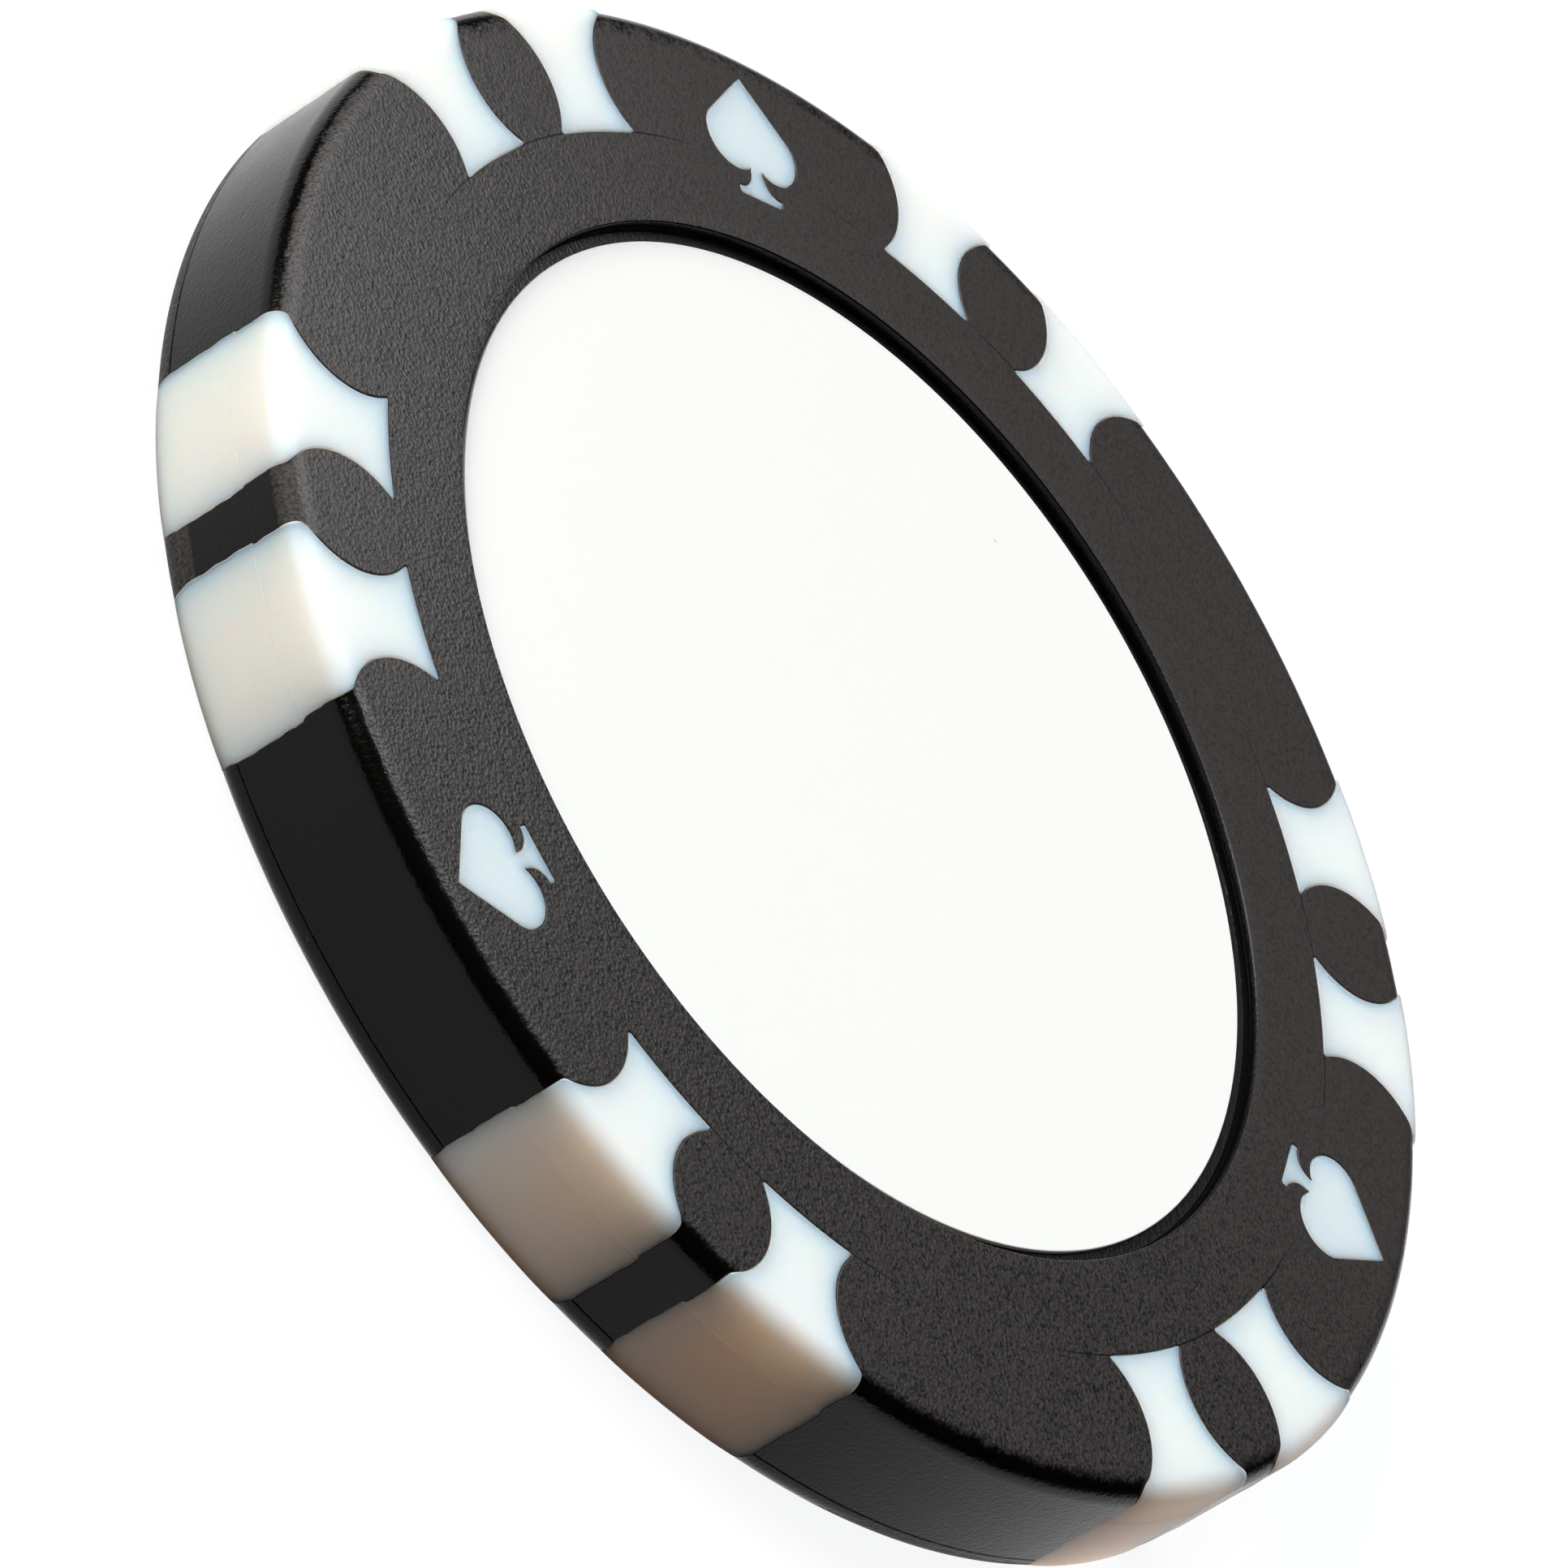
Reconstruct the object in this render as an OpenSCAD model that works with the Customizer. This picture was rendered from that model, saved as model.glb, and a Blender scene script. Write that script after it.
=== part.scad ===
// A poker chip used as a golf ball marker: a black moulded body round a steel weight, with twelve white
// spots through its rim, three small inlaid pips and a recessed blank label on each face.
// It lies flat on its back face. Its axis is Z, and the X axis runs through the middle of a pair of spots.

/* [Chip] */
// Diameter over the rim
chip_d = 40; // [38.5:0.5:45]
// Thickness over the two faces
chip_t = 4.35; // [3.6:0.05:6]
// Radius of the rounding where each face meets the rim
edge_r = 0.65; // [0.2:0.05:1.2]

/* [Label recess] */
// Diameter of the recess in each face
recess_d = 27.8; // [22:0.1:29]
// Depth of the recess below the face
recess_depth = 0.45; // [0.25:0.05:0.8]
// Width of the chamfer round the mouth of the recess
lip = 0.1; // [0.05:0.01:0.2]
// Gap between the label's edge and the wall of the recess
label_gap = 0.4; // [0.1:0.05:1]
// Thickness of the label
label_t = 0.14; // [0.08:0.01:0.24]

/* [Edge spots] */
// Angle from the middle of a pair to the middle of each of its spots
spot_angle = 8.65; // [8:0.05:10]
// Angle by which a spot leans away from the middle of its pair
spot_lean = 1.25; // [0:0.05:3]
// Distance from the rim to the inner end of a spot
spot_length = 3.64; // [3:0.02:4.6]
// Width of a spot at the rim
spot_w = 4.54; // [3.6:0.02:5]
// Width of a spot at its waist
waist_w = 2.17; // [1.4:0.01:2.6]
// Radius of the two arcs that draw a spot in to its waist
waist_r = 2.3; // [2:0.05:2.8]
// Distance from the rim to the middle of the waist
waist_from_rim = 2.34; // [2:0.02:2.6]

/* [Pips] */
// Height of a pip, along the chip's radius
pip_h = 3.6; // [3.2:0.1:3.9]
// Width of a pip over its two lobes
pip_w = 3.2; // [2.4:0.1:4]
// Radius of a pip's two lobes
lobe_r = 0.88; // [0.75:0.01:1]
// Distance from the tip of a pip to the middle of its lobes
lobe_from_tip = 2; // [1.7:0.05:2.2]
// Width of a pip's foot
foot_w = 1.5; // [1:0.1:2]
// Thickness of the foot at its ends
foot_t = 0.18; // [0.1:0.02:0.3]
// Width of the stem above the foot
stem_w = 0.4; // [0.2:0.05:0.6]
// Distance from the rim to the tip of a pip
pip_from_rim = 0.95; // [0.8:0.05:1.2]
// Depth of the inlay
pip_depth = 0.5; // [0.2:0.05:0.8]

/* [Weight] */
// Diameter of the steel slug
slug_d = 26; // [18:0.5:29]
// Thickness of the steel slug
slug_t = 1.6; // [0.8:0.1:2]

/* [Hidden] */
$fn = 96;
// Six pairs of spots, and three pips on each face
pairs = 6;
spots = 2 * pairs;
pips = 3;
chip_r = chip_d / 2;
recess_r = recess_d / 2;
label_r = recess_r - label_gap;
spot_inner_r = chip_r - spot_length;
waist_at = chip_r - waist_from_rim;
pip_tip_r = chip_r - pip_from_rim;
pair_step = 360 / pairs;
pip_step = 360 / pips;
// The first pip stands half way between the first two pairs
pip_first = pair_step / 2;
// How far a cutting shape runs past the face that it cuts
past = 1;

function spot_name(i) = str("edge_spot_", i < 9 ? "0" : "", i + 1);
function front_pip_name(i) = str("front_mark_", i + 1);
function back_pip_name(i) = str("back_mark_", i + 1);

black = [0.09, 0.09, 0.09];
white = [0.93, 0.93, 0.91];
steel = [0.62, 0.63, 0.65];
paper = [0.98, 0.98, 0.98];

// Half of the chip's outline, from the axis to the rim, with both edges rounded
module rim_profile() {
    square([chip_r - edge_r, chip_t]);
    translate([0, edge_r]) square([chip_r, chip_t - 2 * edge_r]);
    intersection() {
        union() {
            translate([chip_r - edge_r, edge_r]) circle(edge_r);
            translate([chip_r - edge_r, chip_t - edge_r]) circle(edge_r);
        }
        square([chip_r, chip_t]);
    }
}

// The whole chip as if it were one piece
module blank() {
    rotate_extrude() rim_profile();
}

// Outline of one spot, with its waist at the origin and the rim towards +Y
module spot_outline() {
    arc_at = waist_w / 2 + waist_r;
    difference() {
        translate([-spot_w / 2, -spot_length]) square([spot_w, spot_length + waist_from_rim + past]);
        for (side = [-1, 1]) translate([side * arc_at, 0]) circle(waist_r);
    }
}

// Space of spot number i, straight through the chip and past both faces and the rim
module spot_column(i) {
    pair = floor(i / 2);
    side = i % 2 == 0 ? -1 : 1;
    turn = pair * pair_step + side * spot_angle;
    difference() {
        rotate([0, 0, turn - 90])
            translate([0, waist_at, -past])
                rotate([0, 0, side * spot_lean])
                    linear_extrude(chip_t + 2 * past) spot_outline();
        translate([0, 0, -2 * past]) cylinder(h = chip_t + 4 * past, r = spot_inner_r);
    }
}

// Outline of a spade, with its tip at the origin and its foot towards -Y. Its straight sides run from the
// tip to the shoulders, where they touch the lobes without a corner.
module spade() {
    lobe_x = pip_w / 2 - lobe_r;
    tip_to_lobe = norm([lobe_x, lobe_from_tip]);
    side_angle = atan(lobe_x / lobe_from_tip) + asin(lobe_r / tip_to_lobe);
    side_length = sqrt(tip_to_lobe * tip_to_lobe - lobe_r * lobe_r);
    shoulder_x = side_length * sin(side_angle);
    shoulder_y = -side_length * cos(side_angle);
    for (side = [-1, 1]) translate([side * lobe_x, -lobe_from_tip]) circle(lobe_r);
    polygon([
        [0, 0],
        [-shoulder_x, shoulder_y],
        [-lobe_x, -lobe_from_tip],
        [lobe_x, -lobe_from_tip],
        [shoulder_x, shoulder_y]
    ]);
    spade_foot();
}

// Stem and foot of the spade, with a hollow curve on each side
module spade_foot() {
    hollow_r = (foot_w - stem_w) / 2;
    hollow_y = -pip_h + foot_t + hollow_r;
    difference() {
        translate([-foot_w / 2, -pip_h]) square([foot_w, pip_h - lobe_from_tip]);
        for (side = [-1, 1]) {
            translate([side * foot_w / 2, hollow_y]) circle(hollow_r);
            translate([side * foot_w / 2 - hollow_r, hollow_y]) square([2 * hollow_r, pip_h]);
        }
    }
}

// Inlay of pip number i, from height z up
module pip_plate(i, z) {
    rotate([0, 0, pip_first + i * pip_step - 90])
        translate([0, pip_tip_r, z])
            linear_extrude(pip_depth) spade();
}

module front_mark(i) {
    color(white) pip_plate(i, chip_t - pip_depth);
}

module back_mark(i) {
    color(white) pip_plate(i, 0);
}

// The recess in the front face, with its chamfered mouth
module recess() {
    translate([0, 0, chip_t - recess_depth]) cylinder(h = recess_depth + past, r = recess_r);
    translate([0, 0, chip_t - lip]) cylinder(h = lip + past, r1 = recess_r, r2 = recess_r + lip + past);
}

module slug_space() {
    translate([0, 0, (chip_t - slug_t) / 2]) cylinder(h = slug_t, r = slug_d / 2);
}

module chip_body() {
    color(black) difference() {
        blank();
        recess();
        translate([0, 0, chip_t]) mirror([0, 0, 1]) recess();
        for (i = [0:spots - 1]) spot_column(i);
        for (i = [0:pips - 1]) {
            front_mark(i);
            back_mark(i);
        }
        slug_space();
    }
}

module weight_slug() {
    color(steel) slug_space();
}

module edge_spot(i) {
    color(white) intersection() {
        blank();
        spot_column(i);
    }
}

module label() {
    cylinder(h = label_t, r = label_r);
}

module front_label() {
    color(paper) translate([0, 0, chip_t - recess_depth]) label();
}

module back_label() {
    color(paper) translate([0, 0, recess_depth - label_t]) label();
}

chip_body();
weight_slug();
for (i = [0:spots - 1]) edge_spot(i);
for (i = [0:pips - 1]) front_mark(i);
for (i = [0:pips - 1]) back_mark(i);
front_label();
back_label();
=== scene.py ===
import math

import bmesh
import bpy
from mathutils import Matrix, Vector, noise


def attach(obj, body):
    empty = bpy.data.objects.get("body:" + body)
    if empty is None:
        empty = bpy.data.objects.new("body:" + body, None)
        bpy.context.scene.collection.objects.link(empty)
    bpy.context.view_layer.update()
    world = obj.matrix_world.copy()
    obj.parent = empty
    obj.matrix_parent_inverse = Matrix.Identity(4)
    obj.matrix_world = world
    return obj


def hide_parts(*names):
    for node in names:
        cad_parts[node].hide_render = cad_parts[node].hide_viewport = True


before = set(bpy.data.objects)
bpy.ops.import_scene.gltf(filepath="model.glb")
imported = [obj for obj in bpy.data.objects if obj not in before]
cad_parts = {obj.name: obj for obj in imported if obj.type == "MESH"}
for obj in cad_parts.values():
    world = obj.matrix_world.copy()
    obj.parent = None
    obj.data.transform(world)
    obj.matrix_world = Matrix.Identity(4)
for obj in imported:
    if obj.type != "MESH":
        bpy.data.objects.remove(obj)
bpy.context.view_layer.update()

# The camera looks down on the chip from 31 degrees above its face and 340 mm away. It is rolled far to one
# side, so that the flat chip seems to stand on edge in the picture.
CAMERA_PLACE = (0.238048, 0.174030, 0.179303)
PICTURE_RIGHT = (-0.66474582, 0.16514687, 0.72858733)
PICTURE_UP = (0.28319965, -0.84676511, 0.45031856)
LENS = 330.15
SENSOR = 36

camera = bpy.data.objects.new("camera", bpy.data.cameras.new("camera"))
right, up = Vector(PICTURE_RIGHT).normalized(), Vector(PICTURE_UP).normalized()
axes = Matrix((right, up, right.cross(up))).transposed().to_4x4()
camera.matrix_world = Matrix.Translation(CAMERA_PLACE) @ axes
camera.data.sensor_width = SENSOR
camera.data.lens = LENS
camera.data.clip_start = 0.02
camera.data.clip_end = 20
bpy.context.scene.collection.objects.link(camera)
bpy.context.scene.camera = camera
bpy.context.scene.view_settings.view_transform = "Standard"

# The chip lies on a table that is white to the camera and in mirrors. A warm room, dimmer in mirrors, and
# two broad lamps light it, one low on the left and a cool one high. A soft box over the near left gives a
# sheen only. As a lamp, the table sends light back only behind the chip and on its left.
FLOOR_HALF = 3.0
FLOOR_DROP = 0.00001
FLOOR_SEEN = (0.14, 0.135, 0.13, 1)
FLOOR_BOUNCE = (0.15, 0.08, 0.05, 1)
FLOOR_GLOW = (0.90, 0.91, 0.92, 1)
PATCH_END = (0.028, 0.034)
BEHIND_PLACE = (190, 0)
BEHIND_RISE = (-0.27, 0.25)
BEHIND_COLOR = (1, 0.9, 0.83, 1)
BEHIND_LIGHT = 0.97
LEFT_PLACE = (-90, 0)
LEFT_RISE = (0.28, 0.78)
LEFT_COLOR = (1, 0.98, 0.9, 1)
LEFT_LIGHT = 0.26
PATCH_LEAN = 50
PATCH_START = 0.02
ROOM_LIGHT = 0.22
ROOM_PLACE = (50, 0)
ROOM_MIRRORED = 0.2
ROOM_COLOR = (1, 0.62, 0.38, 1)
CEILING_LIGHT = 0.25
CEILING_COLOR = (0.93, 1, 1.07, 1)
KEY_PLACE = (-37, 28)
KEY_COLOR = (0.98, 1, 0.94)
KEY_ENERGY = 3.32
KEY_ANGLE = 40
TOP_PLACE = (-120, 65)
TOP_COLOR = (0.91, 1, 1.07)
TOP_ENERGY = 1.42
TOP_ANGLE = 30
BOX_PLACE = (-66, 55)
BOX_DISTANCE = 0.0335
BOX_SIZE = (0.03, 0.03)
BOX_ENERGY = 0.022


class Shade:
    """A socket in a shader. Arithmetic on it adds Math nodes."""

    def __init__(self, tree, socket=None):
        self.tree = tree
        self.socket = socket

    def node(self, kind, settings, values, out=0):
        """Adds a node: its settings first, then the values or links of its sockets."""
        made = self.tree.nodes.new(kind)
        for name, value in settings.items():
            setattr(made, name, value)
        for name, value in values.items():
            if isinstance(value, Shade):
                self.tree.links.new(value.socket, made.inputs[name])
            else:
                made.inputs[name].default_value = value
        return Shade(self.tree, made.outputs[out] if made.outputs else None)

    def twin(self, name):
        """Another output of the same node."""
        return Shade(self.tree, self.socket.node.outputs[name])

    def math(self, operation, *values):
        return self.node("ShaderNodeMath", {"operation": operation}, dict(enumerate(values)))

    def __add__(self, other):
        return self.math("ADD", self, other)

    def __sub__(self, other):
        return self.math("SUBTRACT", self, other)

    def __rsub__(self, other):
        return self.math("SUBTRACT", other, self)

    def __mul__(self, other):
        return self.math("MULTIPLY", self, other)

    __radd__ = __add__
    __rmul__ = __mul__

    def rise(self, low, high):
        """0 below low and 1 above high, with a smooth rise between them."""
        limits = {"Value": self, "From Min": low, "From Max": high}
        return self.node("ShaderNodeMapRange", {"interpolation_type": "SMOOTHSTEP"}, limits)

    def mix(self, first, second):
        """The first colour where this is 0, and the second where it is 1."""
        colors = {"Factor": self, 6: first, 7: second}
        return self.node("ShaderNodeMix", {"data_type": "RGBA"}, colors, out=2)


def shader_tree(owner):
    """An empty node tree on a material or a world."""
    owner.use_nodes = True
    owner.node_tree.nodes.clear()
    return Shade(owner.node_tree)


def toward(azimuth, elevation):
    """The unit vector at an azimuth and an elevation in degrees."""
    level = math.cos(math.radians(elevation))
    turn = math.radians(azimuth)
    return Vector((level * math.cos(turn), level * math.sin(turn), math.sin(math.radians(elevation))))


def link_mesh(name, bm):
    """A new object at the origin from a finished bmesh."""
    mesh = bpy.data.meshes.new(name)
    bm.to_mesh(mesh)
    bm.free()
    obj = bpy.data.objects.new(name, mesh)
    bpy.context.scene.collection.objects.link(obj)
    return obj


floor_mesh = bmesh.new()
bmesh.ops.create_grid(floor_mesh, x_segments=1, y_segments=1, size=FLOOR_HALF)
bmesh.ops.translate(floor_mesh, vec=(0, 0, -FLOOR_DROP), verts=floor_mesh.verts)
floor = link_mesh("floor", floor_mesh)

paper = bpy.data.materials.new("table_paper")
tree = shader_tree(paper)
seen = tree.node("ShaderNodeLightPath", {}, {}, out="Is Camera Ray")
shown = seen + seen.twin("Is Glossy Ray") + seen.twin("Is Transmission Ray")
shown = tree.math("MINIMUM", shown, 1.0)
table = tree.node("ShaderNodeEmission", {}, {"Color": FLOOR_GLOW, "Strength": shown})
paper_color = shown.mix(FLOOR_BOUNCE, FLOOR_SEEN)
lit = tree.node("ShaderNodeBsdfDiffuse", {}, {"Color": paper_color})
table = tree.node("ShaderNodeAddShader", {}, {0: table, 1: lit})
place = tree.node("ShaderNodeTexCoord", {}, {}, out="Object")
away = tree.node("ShaderNodeVectorMath", {"operation": "LENGTH"}, {0: place}, out="Value")
unseen = (1 - shown) * (1 - away.rise(*PATCH_END))
lean = PATCH_LEAN * (away - PATCH_START)
place = tree.node("ShaderNodeVectorMath", {"operation": "NORMALIZE"}, {0: place})
for side, rise, color, strength in (
    (BEHIND_PLACE, BEHIND_RISE, BEHIND_COLOR, BEHIND_LIGHT),
    (LEFT_PLACE, LEFT_RISE, LEFT_COLOR, LEFT_LIGHT),
):
    facing = {0: place, 1: toward(*side)}
    toward_side = tree.node("ShaderNodeVectorMath", {"operation": "DOT_PRODUCT"}, facing, out="Value")
    part = {"Color": color, "Strength": strength * (toward_side - lean).rise(*rise) * unseen}
    table = tree.node("ShaderNodeAddShader", {}, {0: table, 1: tree.node("ShaderNodeEmission", {}, part)})
tree.node("ShaderNodeOutputMaterial", {}, {"Surface": table})
floor.data.materials.append(paper)

studio = bpy.data.worlds.new("studio")
bpy.context.scene.world = studio
tree = shader_tree(studio)
sky = tree.node("ShaderNodeTexCoord", {}, {}, out="Generated")
height = tree.math("MAXIMUM", tree.node("ShaderNodeSeparateXYZ", {}, {"Vector": sky}, out="Z"), 0.0)
facing = {0: sky, 1: toward(*ROOM_PLACE)}
toward_room = tree.node("ShaderNodeVectorMath", {"operation": "DOT_PRODUCT"}, facing, out="Value")
glossy = tree.node("ShaderNodeLightPath", {}, {}, out="Is Glossy Ray")
mirrored = 1 - (1 - ROOM_MIRRORED) * glossy
strength = ROOM_LIGHT * (0.5 + 0.5 * toward_room) * mirrored
room = tree.node("ShaderNodeBackground", {}, {"Color": ROOM_COLOR, "Strength": strength})
ceiling = {"Color": CEILING_COLOR, "Strength": CEILING_LIGHT * height * height * mirrored}
room = tree.node("ShaderNodeAddShader", {}, {0: room, 1: tree.node("ShaderNodeBackground", {}, ceiling)})
tree.node("ShaderNodeOutputWorld", {}, {"Surface": room})


def lamp(name, kind, place, distance, energy):
    """A lamp that looks at the chip from an azimuth and an elevation."""
    made = bpy.data.objects.new(name, bpy.data.lights.new(name, kind))
    made.location = toward(*place) * distance
    made.rotation_mode = "QUATERNION"
    made.rotation_quaternion = toward(*place).to_track_quat("Z", "Y")
    made.data.energy = energy
    bpy.context.scene.collection.objects.link(made)
    return made


key = lamp("key", "SUN", KEY_PLACE, 1, KEY_ENERGY)
key.data.angle = math.radians(KEY_ANGLE)
key.data.color = KEY_COLOR
top = lamp("top", "SUN", TOP_PLACE, 1, TOP_ENERGY)
top.data.angle = math.radians(TOP_ANGLE)
top.data.color = TOP_COLOR
soft_box = lamp("soft_box", "AREA", BOX_PLACE, BOX_DISTANCE, BOX_ENERGY)
soft_box.data.shape = "RECTANGLE"
soft_box.data.size, soft_box.data.size_y = BOX_SIZE
soft_box.visible_camera = soft_box.visible_diffuse = False

# The weight is a plain blanked steel disc, sealed in the middle of the body. It keeps its CAD shape, since
# nothing of it shows.
MM = 0.001
SLUG_R = 13
SLUG_T = 1.6
STEEL_COLOR = (0.56, 0.57, 0.58, 1)
STEEL_DARK = (0.40, 0.40, 0.41, 1)
ROLLED_STRETCH = (0.1, 4, 4)


def plastic_place(tree):
    """Where a point lies on its piece, in millimetres."""
    place = tree.node("ShaderNodeTexCoord", {}, {}, out="Object")
    return tree.node("ShaderNodeVectorMath", {"operation": "SCALE"}, {0: place, "Scale": 1 / MM})


def cloud(place, per_mm, detail=2.0):
    """Soft noise from 0 to 1, with so many cells in a millimetre."""
    return place.node("ShaderNodeTexNoise", {}, {"Vector": place, "Scale": per_mm, "Detail": detail})


def principled(tree, height, values):
    """The piece's shader, with a relief of the given height in millimetres."""
    relief = tree.node("ShaderNodeBump", {}, {"Distance": MM, "Height": height})
    surface = tree.node("ShaderNodeBsdfPrincipled", {}, {"Normal": relief, **values})
    tree.node("ShaderNodeOutputMaterial", {}, {"Surface": surface})


steel = bpy.data.materials.new("blanked_steel")
tree = shader_tree(steel)
place = plastic_place(tree)
stretched = tree.node("ShaderNodeVectorMath", {"operation": "MULTIPLY"}, {0: place, 1: ROLLED_STRETCH})
rolled = cloud(stretched, 3)
principled(
    tree,
    0.002 * rolled,
    {"Base Color": rolled.mix(STEEL_DARK, STEEL_COLOR), "Metallic": 1, "Roughness": 0.25 + 0.2 * rolled},
)
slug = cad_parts["weight_slug"]
slug.data.materials.clear()
slug.data.materials.append(steel)

# The spots are milky white plastic, moulded before the body. Each runs from face to face through the rim,
# is held by its waist between two black lobes, and bulges a little past the rim, with a fine parting line.
CHIP_R = 20
CHIP_T = 4.35
EDGE_R = 0.65
EDGE_SEGMENTS = 12
SPOT_EDGE_R = 0.5
NEAR_EDGE = CHIP_R - EDGE_R - 0.12
NEAR_RIM = EDGE_R + 0.06
LINE_HALF = 0.03
PARTING_LINE_RISE = 0.015
MOULD_LINE_RISE = -0.015
PARTING_LINE_Z = 2.87
MOULD_LINE_Z = 0.76
TURN_STEPS = 360
MERGE = 1e-5
SMOOTH_ANGLE = math.radians(12)
CUT_PAST = 1
PAST_FACE = 0.005
BROKEN_EDGE = 0.025
SHRINK_GAP = 0.024

PAIRS = 6
PAIR_STEP = 60
SPOT_ANGLE = 8.65
SPOT_LEAN = 1.25
SPOT_INNER_R = 16.36
WAIST_AT = 17.66
WAIST_HALF = 1.085
WAIST_R = 2.3
SPOT_HALF = 2.27
ARC_STEPS = 28
END_STEPS = 14
CORNER_R = 0.13
CORNER_SEGMENTS = 5
SHOULDER_R = 0.45
SHOULDER_SEGMENTS = 6
SHOULDER_BLEND = 0.5
WANDER_PER_MM = 2.6
JOG = 0.08
JOG_HEIGHT = 0.12
SEAM_WANDER = 0.045
BULGE = 0.05
SIDE_LEVELS = (
    0.3, 0.55, 0.72, 0.78, 0.83, 0.9, 1.0, 1.15, 1.3, 1.45, 1.6, 1.75, 1.9, 2.05, 2.2, 2.35, 2.5, 2.65,
    2.8, 2.84, 2.9, 2.95, 3.02, 3.15, 3.3, 3.45, 3.6, 3.75, 3.9, 4.1,
)
MILK_SHINE = 0.08
MILK_STRETCH = (1, 1, 0.08)
MILK = (0.945, 0.9, 0.885, 1)
MILK_SHADE = (0.935, 0.885, 0.865, 1)
SCATTER = (1.0, 0.62, 0.42)
SCATTER_REACH = 2.4 * MM


def smooth_rise(value, low, high):
    """0 below low and 1 above high, with a smooth rise between them."""
    share = min(max((value - low) / (high - low), 0), 1)
    return share * share * (3 - 2 * share)


def line(bm, vert, place):
    """Draws an edge from a vertex to a place, and returns its last vertex."""
    end = bm.verts.new(place)
    bm.edges.new((vert, end))
    return end


def arc(bm, vert, centre, angle, steps):
    """Draws an arc of edges from a vertex round a centre, and returns its last vertex."""
    made = bmesh.ops.spin(
        bm, geom=[vert], cent=centre, axis=(0, 0, 1), dvec=(0, 0, 0), angle=angle, steps=steps
    )
    return next(item for item in made["geom_last"] if isinstance(item, bmesh.types.BMVert))


def turn_between(centre, start, end):
    """The signed angle from start to end, seen from centre."""
    a, b = start - centre, end - centre
    return math.atan2(a.x * b.y - a.y * b.x, a.dot(b))


def round_corners(bm, verts, radius, segments):
    bmesh.ops.bevel(
        bm, geom=verts, offset=radius, offset_type="OFFSET", segments=segments, profile=0.5,
        affect="VERTICES", material=-1,
    )


def raise_outline(bm, levels, flare):
    """Raises a closed outline through these heights into a solid. Near the chip's faces a piece (flare -1)
    grows narrower and its pocket (flare 1) wider, and the pocket has a hair's gap all round."""
    rim = bm.edges[:]
    bmesh.ops.contextual_create(bm, geom=rim)
    bmesh.ops.translate(bm, vec=(0, 0, levels[0]), verts=bm.verts)
    for low, high in zip(levels, levels[1:]):
        made = bmesh.ops.extrude_edge_only(bm, edges=rim)["geom"]
        moved = [item for item in made if isinstance(item, bmesh.types.BMVert)]
        bmesh.ops.translate(bm, vec=(0, 0, high - low), verts=moved)
        rim = [item for item in made if isinstance(item, bmesh.types.BMEdge)]
    bmesh.ops.contextual_create(bm, geom=rim)
    bmesh.ops.recalc_face_normals(bm, faces=bm.faces)
    bm.normal_update()
    outwards = [Vector((vert.normal.x, vert.normal.y, 0)).normalized() for vert in bm.verts]
    for vert, way in zip(bm.verts, outwards):
        depth = min(vert.co.z, CHIP_T - vert.co.z)
        vert.co += way * (flare * max(BROKEN_EDGE - depth, 0) + max(flare, 0) * SHRINK_GAP)


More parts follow.
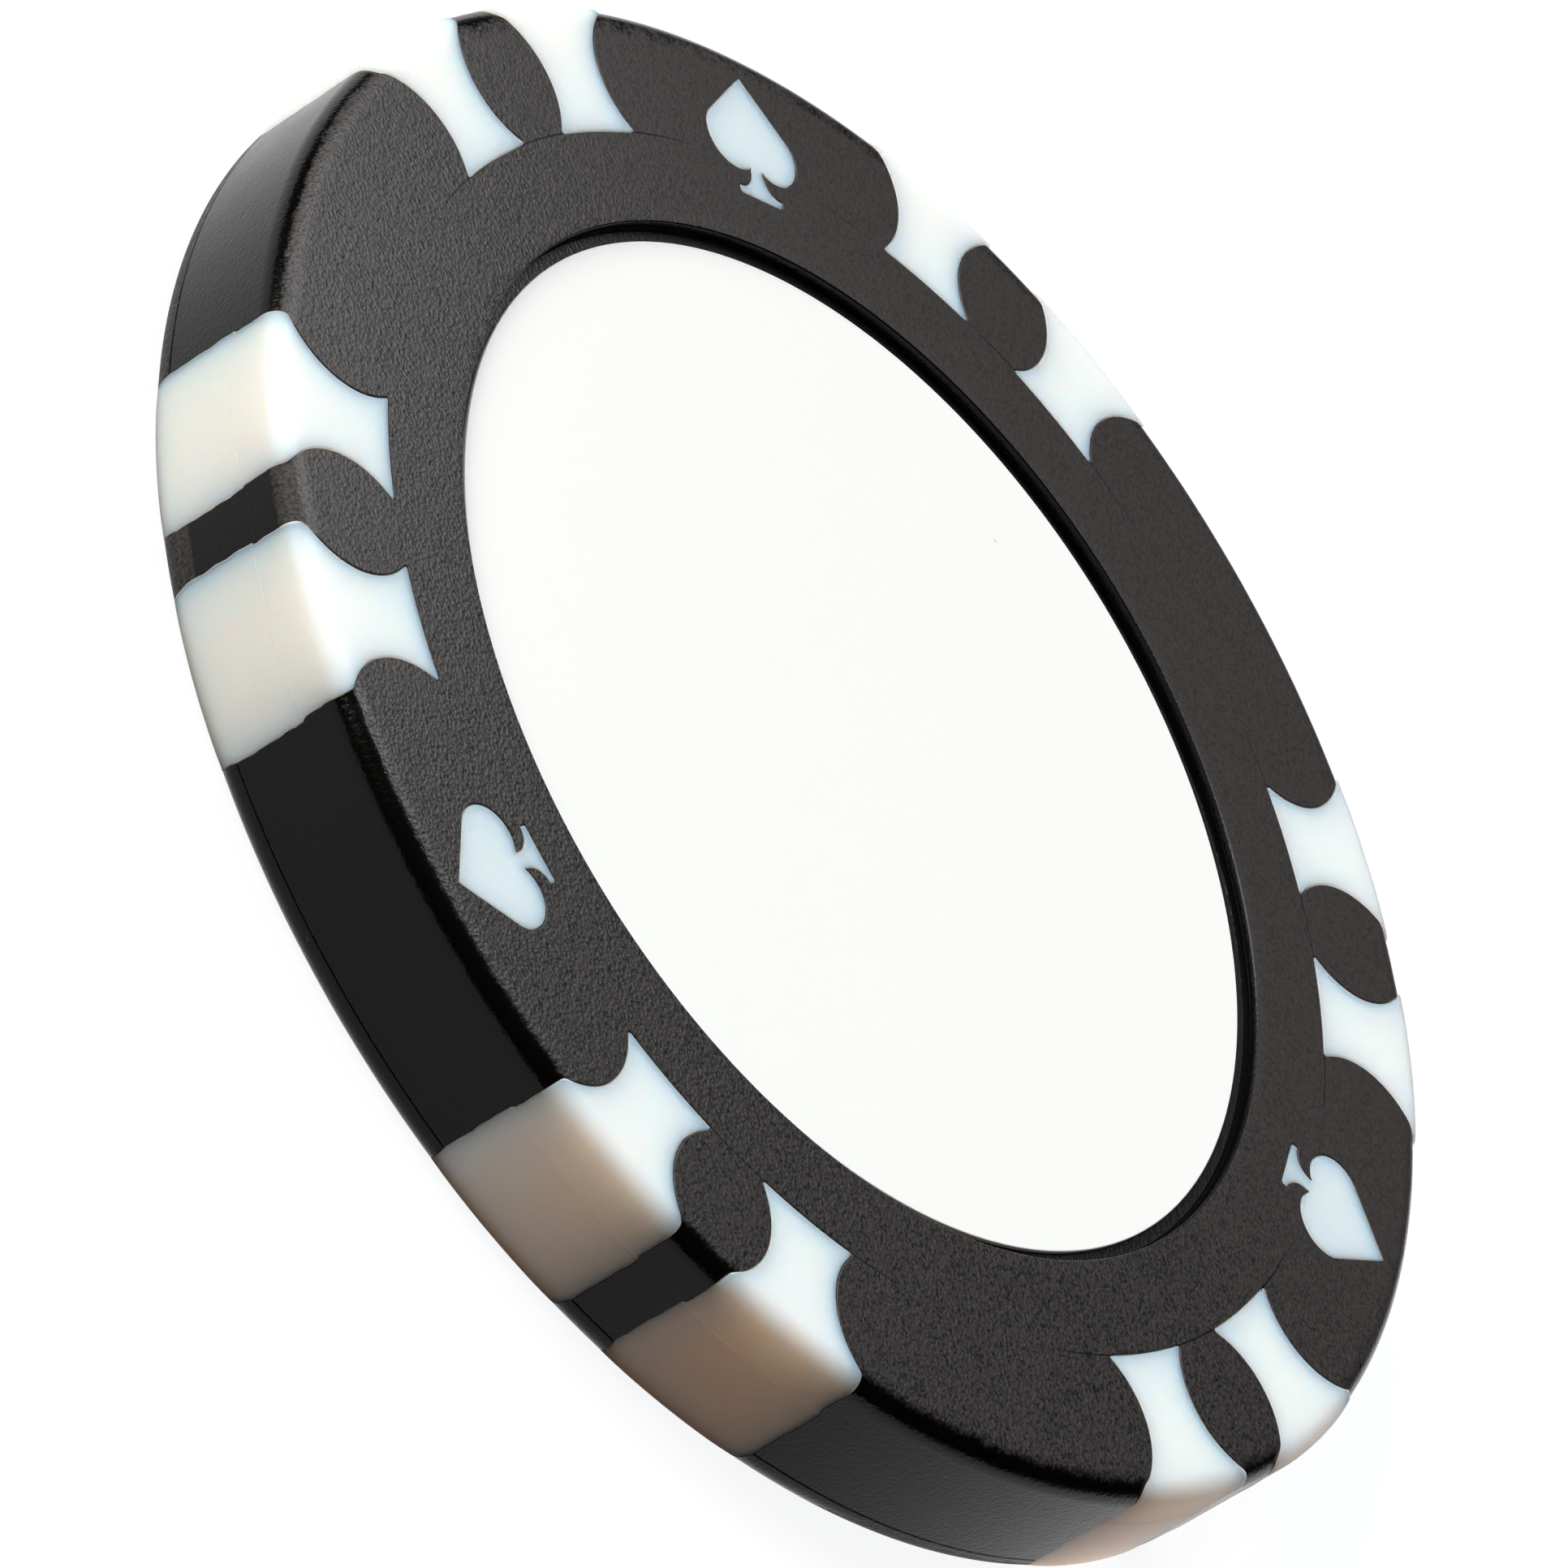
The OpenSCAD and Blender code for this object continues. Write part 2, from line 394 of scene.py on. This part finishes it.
def spot_column(index, flare):
    """The space of one spot, through the chip and past it. On the rim its sides step at both mould lines."""
    side = 1 if index % 2 else -1
    turn = index // 2 * PAIR_STEP + side * SPOT_ANGLE
    waist = toward(turn, 0) * WAIST_AT
    out = toward(turn + side * SPOT_LEAN, 0)
    across = Vector((out.y, -out.x, 0))
    shoulder = math.sqrt(WAIST_R**2 - (WAIST_HALF + WAIST_R - SPOT_HALF) ** 2)
    centres = [waist + across * sign * (WAIST_HALF + WAIST_R) for sign in (1, -1)]
    ends = [waist + across * sign * SPOT_HALF + out * shoulder for sign in (1, -1)]
    corners = []
    for sign, centre in zip((-1, 1), centres):
        reach = centre.length
        angle = math.acos((WAIST_R**2 + reach**2 - SPOT_INNER_R**2) / (2 * WAIST_R * reach))
        corners.append(centre - Matrix.Rotation(sign * angle, 3, "Z") @ centre.normalized() * WAIST_R)
    past_rim = out * (CHIP_R + CUT_PAST - WAIST_AT)
    bm = bmesh.new()
    first = bm.verts.new(waist + across * SPOT_HALF + past_rim)
    shoulders = [line(bm, first, ends[0])]
    inwards = turn_between(centres[0], ends[0], corners[0])
    inner_first = arc(bm, shoulders[0], centres[0], inwards, ARC_STEPS)
    inner_last = arc(bm, inner_first, Vector(), turn_between(Vector(), *corners), END_STEPS)
    back_out = turn_between(centres[1], corners[1], ends[1])
    shoulders.append(arc(bm, inner_last, centres[1], back_out, ARC_STEPS))
    last = line(bm, shoulders[1], waist - across * SPOT_HALF + past_rim)
    bm.edges.new((last, first))
    round_corners(bm, [inner_first, inner_last], CORNER_R, CORNER_SEGMENTS)
    round_corners(bm, shoulders, SHOULDER_R, SHOULDER_SEGMENTS)
    levels = (-PAST_FACE, BROKEN_EDGE, *SIDE_LEVELS, CHIP_T - BROKEN_EDGE, CHIP_T + PAST_FACE)
    raise_outline(bm, levels, flare)
    for vert in bm.verts:
        height = vert.co.z
        sign = math.copysign(1, (vert.co - waist).dot(across))
        near_rim = smooth_rise((vert.co - waist).dot(out), shoulder - SHOULDER_BLEND, shoulder)
        between_lines = smooth_rise(height, MOULD_LINE_Z - JOG_HEIGHT, MOULD_LINE_Z)
        between_lines -= smooth_rise(height, PARTING_LINE_Z, PARTING_LINE_Z + JOG_HEIGHT)
        off_faces = smooth_rise(height, 0, EDGE_R) * smooth_rise(CHIP_T - height, 0, EDGE_R)
        seed = (height * WANDER_PER_MM, index * 7.1, sign * 3.7)
        wander = noise.noise(seed) * SEAM_WANDER * off_faces
        vert.co += across * sign * near_rim * (JOG * between_lines + wander)
    return bm


def turned(points, roundings):
    """Turns a profile of (radius, height) points. Roundings give a radius and its segments by point."""
    bm = bmesh.new()
    verts = [bm.verts.new((radius, 0, height)) for radius, height in points]
    for a, b in zip(verts, verts[1:]):
        bm.edges.new((a, b))
    for index, (radius, segments) in roundings.items():
        round_corners(bm, [verts[index]], radius, segments)
    bmesh.ops.spin(
        bm, geom=bm.verts[:] + bm.edges[:], cent=(0, 0, 0), axis=(0, 0, 1), dvec=(0, 0, 0),
        angle=math.tau, steps=TURN_STEPS, use_merge=True,
    )
    bmesh.ops.remove_doubles(bm, verts=bm.verts, dist=MERGE)
    bmesh.ops.recalc_face_normals(bm, faces=bm.faces)
    return bm


def turned_over(points):
    """The same profile on the other face, in reverse order."""
    return [(radius, CHIP_T - height) for radius, height in reversed(points)]


def fine_line(height, rise):
    """Three profile points of a fine line round the rim, raised or sunk."""
    return [(CHIP_R, height - LINE_HALF), (CHIP_R + rise, height), (CHIP_R, height + LINE_HALF)]


def cut(operation, shape, tools):
    """The shape without what the tools fill, or only what it shares with them."""
    joined = bmesh.new()
    for tool in tools:
        mesh = bpy.data.meshes.new("tool")
        tool.to_mesh(mesh)
        tool.free()
        joined.from_mesh(mesh)
        bpy.data.meshes.remove(mesh)
    kept, cutter = link_mesh("kept", shape), link_mesh("cutter", joined)
    modifier = kept.modifiers.new("cut", "BOOLEAN")
    modifier.operation = operation
    modifier.solver = "EXACT"
    modifier.object = cutter
    result = bmesh.new()
    result.from_object(kept, bpy.context.evaluated_depsgraph_get())
    bpy.data.meshes.remove(kept.data)
    bpy.data.meshes.remove(cutter.data)
    return result


def finish_piece(name, bm, material, node):
    """Sets the shading and hands the piece to the frame in place of its CAD node."""
    bmesh.ops.remove_doubles(bm, verts=bm.verts, dist=MERGE)
    for face in bm.faces:
        face.smooth = True
    for edge in bm.edges:
        edge.smooth = edge.is_manifold and edge.calc_face_angle() < SMOOTH_ANGLE
    bmesh.ops.scale(bm, vec=(MM, MM, MM), verts=bm.verts)
    piece = link_mesh(name, bm)
    piece.data.materials.append(material)
    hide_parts(node)
    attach(piece, "root")


milky = bpy.data.materials.new("milky_plastic")
tree = shader_tree(milky)
place = plastic_place(tree)
drawn = tree.node("ShaderNodeVectorMath", {"operation": "MULTIPLY"}, {0: place, 1: MILK_STRETCH})
principled(
    tree,
    0.0008 * cloud(drawn, 9) + 0.002 * cloud(place, 0.7),
    {
        "Base Color": cloud(place, 0.5).rise(0.35, 0.7).mix(MILK, MILK_SHADE),
        "Roughness": 0.45 + 0.1 * cloud(place, 2),
        "Specular IOR Level": MILK_SHINE,
        "Subsurface Weight": 1,
        "Subsurface Radius": SCATTER,
        "Subsurface Scale": SCATTER_REACH,
    },
)

rim_half = [(0, 0), (NEAR_EDGE, 0), (CHIP_R, 0), (CHIP_R, NEAR_RIM)]
profile = rim_half + fine_line(PARTING_LINE_Z, PARTING_LINE_RISE) + turned_over(rim_half)
roundings = {2: (EDGE_R, EDGE_SEGMENTS), len(profile) - 3: (SPOT_EDGE_R, EDGE_SEGMENTS)}
columns = [spot_column(index, -1) for index in range(2 * PAIRS)]
all_spots = cut("INTERSECT", turned(profile, roundings), columns)
for index in range(2 * PAIRS):
    middle = toward(index // 2 * PAIR_STEP + (SPOT_ANGLE if index % 2 else -SPOT_ANGLE), 0)
    spot = all_spots.copy()
    nearest = math.cos(math.radians(SPOT_ANGLE))
    others = [vert for vert in spot.verts if vert.co.xy.normalized().dot(middle.xy) < nearest]
    bmesh.ops.delete(spot, geom=others, context="VERTS")
    for vert in spot.verts:
        past_edge = vert.co.xy.length - CHIP_R + EDGE_R
        if past_edge > 0:
            outwards = Vector((vert.co.x, vert.co.y, 0)).normalized()
            across = outwards.cross(middle).z * CHIP_R / SPOT_HALF
            vert.co += outwards * BULGE * max(1 - across**4, 0) * past_edge / EDGE_R
    number = f"{index + 1:02d}"
    finish_piece(f"spot_{number}", spot, milky, f"edge_spot_{number}")
all_spots.free()

# The pips are small spades of the same white plastic, set flush into the black faces, three on each side.
# Each is a thin flat moulding with broken edges.
PIPS = 3
PIP_FIRST = 30
PIP_STEP = 120
PIP_TIP_R = 19.05
PIP_DEPTH = 0.5
PIP_H = 3.6
LOBE_X = 0.72
LOBE_R = 0.88
LOBE_FROM_TIP = 2
STEM_HALF = 0.2
FOOT_HALF = 0.75
FOOT_T = 0.18
PIP_CORNER_R = 0.05
PIP_CORNER_SEGMENTS = 3
LOBE_STEPS = 24
FOOT_STEPS = 10


def raised_pip(index, levels, flare):
    """One spade, raised through these heights, with its tip towards the rim."""
    bm = bmesh.new()
    lobe = Vector((LOBE_X, -LOBE_FROM_TIP, 0))
    lean = math.atan2(LOBE_X, LOBE_FROM_TIP) + math.asin(LOBE_R / lobe.length)
    side = math.sqrt(lobe.length**2 - LOBE_R**2)
    shoulder = Vector((side * math.sin(lean), -side * math.cos(lean), 0))
    stem_top = -LOBE_FROM_TIP - math.sqrt(LOBE_R**2 - (LOBE_X - STEM_HALF) ** 2)
    crotch = Vector((STEM_HALF, stem_top, 0))
    hollow_y = -PIP_H + FOOT_T + FOOT_HALF - STEM_HALF
    vert = line(bm, bm.verts.new((0, 0, 0)), shoulder)
    vert = arc(bm, vert, lobe, turn_between(lobe, shoulder, crotch), LOBE_STEPS)
    vert = line(bm, vert, (STEM_HALF, hollow_y, 0))
    vert = arc(bm, vert, (FOOT_HALF, hollow_y, 0), math.pi / 2, FOOT_STEPS)
    toe = line(bm, vert, (FOOT_HALF, -PIP_H, 0))
    line(bm, toe, (0, -PIP_H, 0))
    round_corners(bm, [toe], PIP_CORNER_R, PIP_CORNER_SEGMENTS)
    bmesh.ops.mirror(bm, geom=bm.verts[:] + bm.edges[:], axis="X", merge_dist=MERGE)
    turn = Matrix.Rotation(math.radians(PIP_FIRST + index * PIP_STEP - 90), 4, "Z")
    bmesh.ops.transform(bm, matrix=turn @ Matrix.Translation((0, PIP_TIP_R, 0)), verts=bm.verts)
    raise_outline(bm, levels, flare)
    return bm


for side, levels in (
    ("front", (CHIP_T - PIP_DEPTH, CHIP_T - BROKEN_EDGE, CHIP_T)),
    ("back", (0, BROKEN_EDGE, PIP_DEPTH)),
):
    for index in range(PIPS):
        pip = raised_pip(index, levels, -1)
        finish_piece(f"{side}_pip_{index + 1}", pip, milky, f"{side}_mark_{index + 1}")

# The body is one moulding in black plastic round the spots and the weight, with a shallow label recess in
# each face. Its faces carry a fine spark-eroded grain that stops in a ragged line on the rounded edge; the
# rim is glossy, with a thin mould line near the back. Faint knit lines start at the corners of the spots.
RECESS_R = 13.85
RECESS_DEPTH = 0.45
RECESS_FILLET = 0.04
FILLET_SEGMENTS = 2
LIP_R = 0.055
LIP_SEGMENTS = 5
LEDGE = 0.02
LEDGE_DEPTH = 0.22
MOUTH_R = RECESS_R + LEDGE
NEAR_RECESS = RECESS_R + 0.4
SHARP_AT = 36
GRAIN_MIDDLE = 0.02
FAR_GRAIN = 0.35
FAR_SPECKS = 0.45
BACK_GRAIN_Z = (1.5, 2)
BLACK_ROUGH = 0.48
BLACK_SHINE = 0.15
FACE_BLACK = (0.0435, 0.0375, 0.0358, 1)
SPECK_BLACK = (0.004, 0.0037, 0.0035, 1)
RIM_BLACK = (0.0012, 0.0011, 0.001, 1)
KNIT_BLACK = (0.004, 0.004, 0.004, 1)

black = bpy.data.materials.new("grained_black_plastic")
tree = shader_tree(black)
place = plastic_place(tree)
x = tree.node("ShaderNodeSeparateXYZ", {}, {"Vector": place}, out="X")
y, z = x.twin("Y"), x.twin("Z")
radius = tree.math("SQRT", x * x + y * y)
off_pair = tree.math("PINGPONG", tree.math("ARCTAN2", y, x) * math.degrees(1), PAIR_STEP / 2)
below_face = CHIP_T / 2 - tree.math("ABSOLUTE", z - CHIP_T / 2)
facing_x = tree.math("DIVIDE", x, radius)
facing_y = tree.math("DIVIDE", y, radius)
grain_stop = 0.03 + 0.1 * facing_x.rise(0.55, 0.8) * (1 - facing_y.rise(-0.3, 0.1))
grain_stop = grain_stop + 0.5 * facing_x.rise(0.988, 0.996)
near_side = (facing_x + facing_y).rise(1.02, 1.2)
grain_stop = grain_stop - 0.04 * (1 - facing_y.rise(-0.9, -0.6))
grain_stop = grain_stop + 0.52 * (1 - z.rise(*BACK_GRAIN_Z)) * (1 - near_side)
past_stop = below_face + 0.16 * (cloud(place, 9, 2) - 0.5) + 0.12 * (cloud(place, 2) - 0.5) - grain_stop
# The recess floor round the label. Its colour is darkened below as painted shade in the recess.
shaded_ring_floor = 1 - radius.rise(RECESS_R - 0.04, RECESS_R - 0.02)
wall = 1 - radius.rise(MOUTH_R + 0.02, MOUTH_R + 0.05) - shaded_ring_floor
gloss = radius.rise(19.1, 19.3) * past_stop.rise(-0.02, 0.08) + wall
between = 1 - off_pair.rise(3.3, 3.5)
beyond = off_pair.rise(13.4, 13.6) * (1 - off_pair.rise(15, 25))
wobble = tree.math("ABSOLUTE", radius - SPOT_INNER_R + 0.06 * (cloud(place, 1.1) - 0.5))
patchy = cloud(place, 0.13).rise(0.34, 0.48) * (1 - 0.8 * facing_x.rise(0.6, 0.9))
knit = (1 - wobble.rise(0.008, 0.03)) * (between + beyond) * patchy
pit_cell = tree.node("ShaderNodeTexVoronoi", {}, {"Vector": place, "Scale": 0.45}, out="Distance")
rare = tree.node("ShaderNodeSeparateXYZ", {}, {"Vector": pit_cell.twin("Color")}).rise(0.7, 0.75)
pit = (1 - pit_cell.rise(0.012, 0.035)) * rare
crater = tree.node("ShaderNodeTexVoronoi", {}, {"Vector": place, "Scale": 9}, out="Distance")
grain = 0.007 * cloud(place, 8, 2) + 0.016 * cloud(place, 14, 1) + 0.021 * crater - GRAIN_MIDDLE
sharp_side = toward(SHARP_AT, 0)
sharp = (x * sharp_side.x + y * sharp_side.y).rise(-10, 3)
grain = grain * (FAR_GRAIN + (1 - FAR_GRAIN) * sharp)
grain = grain * (1 - 0.2 * radius.rise(16.3, 16.5) * (1 - off_pair.rise(13, 17)))
flow = 0.004 * (cloud(place, 1.3) - 0.5) + 0.012 * (cloud(place, 9, 2) - 0.5)
sand = tree.node("ShaderNodeTexVoronoi", {}, {"Vector": place, "Scale": 14}, out="Color")
sand = tree.node("ShaderNodeSeparateXYZ", {}, {"Vector": sand})
speck = 0.6 * cloud(place, 10, 3).rise(0.38, 0.52) + 0.4 * sand
speckled = (1 - (1 - speck) * (FAR_SPECKS + (1 - FAR_SPECKS) * sharp)).mix(SPECK_BLACK, FACE_BLACK)
face_black = knit.mix(speckled, KNIT_BLACK)
principled(
    tree,
    (1 - gloss) * grain + gloss * flow - 0.012 * knit - 0.015 * pit,
    {
        # The recess floor ring is painted 70 % of the way to the darkest black: painted shade under the
        # recess wall.
        "Base Color": (gloss + 0.7 * shaded_ring_floor).mix(face_black, RIM_BLACK),
        "Roughness": BLACK_ROUGH - gloss * (0.32 - 0.1 * cloud(place, 0.9)),
        "Specular IOR Level": BLACK_SHINE,
    },
)

back_half = [
    (0, RECESS_DEPTH), (RECESS_R, RECESS_DEPTH), (RECESS_R, LEDGE_DEPTH), (MOUTH_R, LEDGE_DEPTH),
    (MOUTH_R, 0), (NEAR_RECESS, 0), (NEAR_EDGE, 0), (CHIP_R, 0), (CHIP_R, NEAR_RIM),
]
profile = back_half + fine_line(MOULD_LINE_Z, MOULD_LINE_RISE) + turned_over(back_half)
half_roundings = {
    1: (RECESS_FILLET, FILLET_SEGMENTS), 4: (LIP_R, LIP_SEGMENTS), 7: (EDGE_R, EDGE_SEGMENTS),
}
roundings = {}
for index, rounding in half_roundings.items():
    roundings[index] = roundings[len(profile) - 1 - index] = rounding
slug_low, slug_high = (CHIP_T - SLUG_T) / 2, (CHIP_T + SLUG_T) / 2
tools = [turned([(0, slug_low), (SLUG_R, slug_low), (SLUG_R, slug_high), (0, slug_high)], {})]
tools += [spot_column(index, 1) for index in range(2 * PAIRS)]
for index in range(PIPS):
    front_pocket = (CHIP_T - PIP_DEPTH, CHIP_T - BROKEN_EDGE, CHIP_T + PAST_FACE)
    tools.append(raised_pip(index, front_pocket, 1))
    tools.append(raised_pip(index, (-PAST_FACE, BROKEN_EDGE, PIP_DEPTH), 1))
body = cut("DIFFERENCE", turned(profile, roundings), tools)
finish_piece("body", body, black, "chip_body")

# The labels are blank discs of white film, stuck to the floor of the recess in each face. A little dust has
# settled on them.
LABEL_R = 13.5
LABEL_T = 0.14
LABEL_EDGE_R = 0.03
LABEL_EDGE_SEGMENTS = 3
LABEL_SHINE = 0.1
FILM = (0.9, 0.9, 0.895, 1)
DUST = (0.62, 0.58, 0.50, 1)

film = bpy.data.materials.new("white_label_film")
tree = shader_tree(film)
place = plastic_place(tree)
cell = tree.node("ShaderNodeTexVoronoi", {}, {"Vector": place, "Scale": 0.3}, out="Distance")
dusty = tree.node("ShaderNodeSeparateXYZ", {}, {"Vector": cell.twin("Color")}).rise(0.8, 0.85)
dust = (1 - cell.rise(0.01, 0.035)) * dusty
principled(
    tree,
    0.002 * cloud(place, 3, 3) + 0.01 * dust,
    {
        "Base Color": dust.mix(FILM, DUST),
        "Roughness": 0.42 + 0.1 * cloud(place, 0.6),
        "Specular IOR Level": LABEL_SHINE,
    },
)
for side, low in (("front", CHIP_T - RECESS_DEPTH), ("back", RECESS_DEPTH - LABEL_T)):
    corners = [(0, low), (LABEL_R, low), (LABEL_R, low + LABEL_T), (0, low + LABEL_T)]
    rounding = (LABEL_EDGE_R, LABEL_EDGE_SEGMENTS)
    disc = turned(corners, {1: rounding, 2: rounding})
    finish_piece(f"{side}_label_disc", disc, film, f"{side}_label")
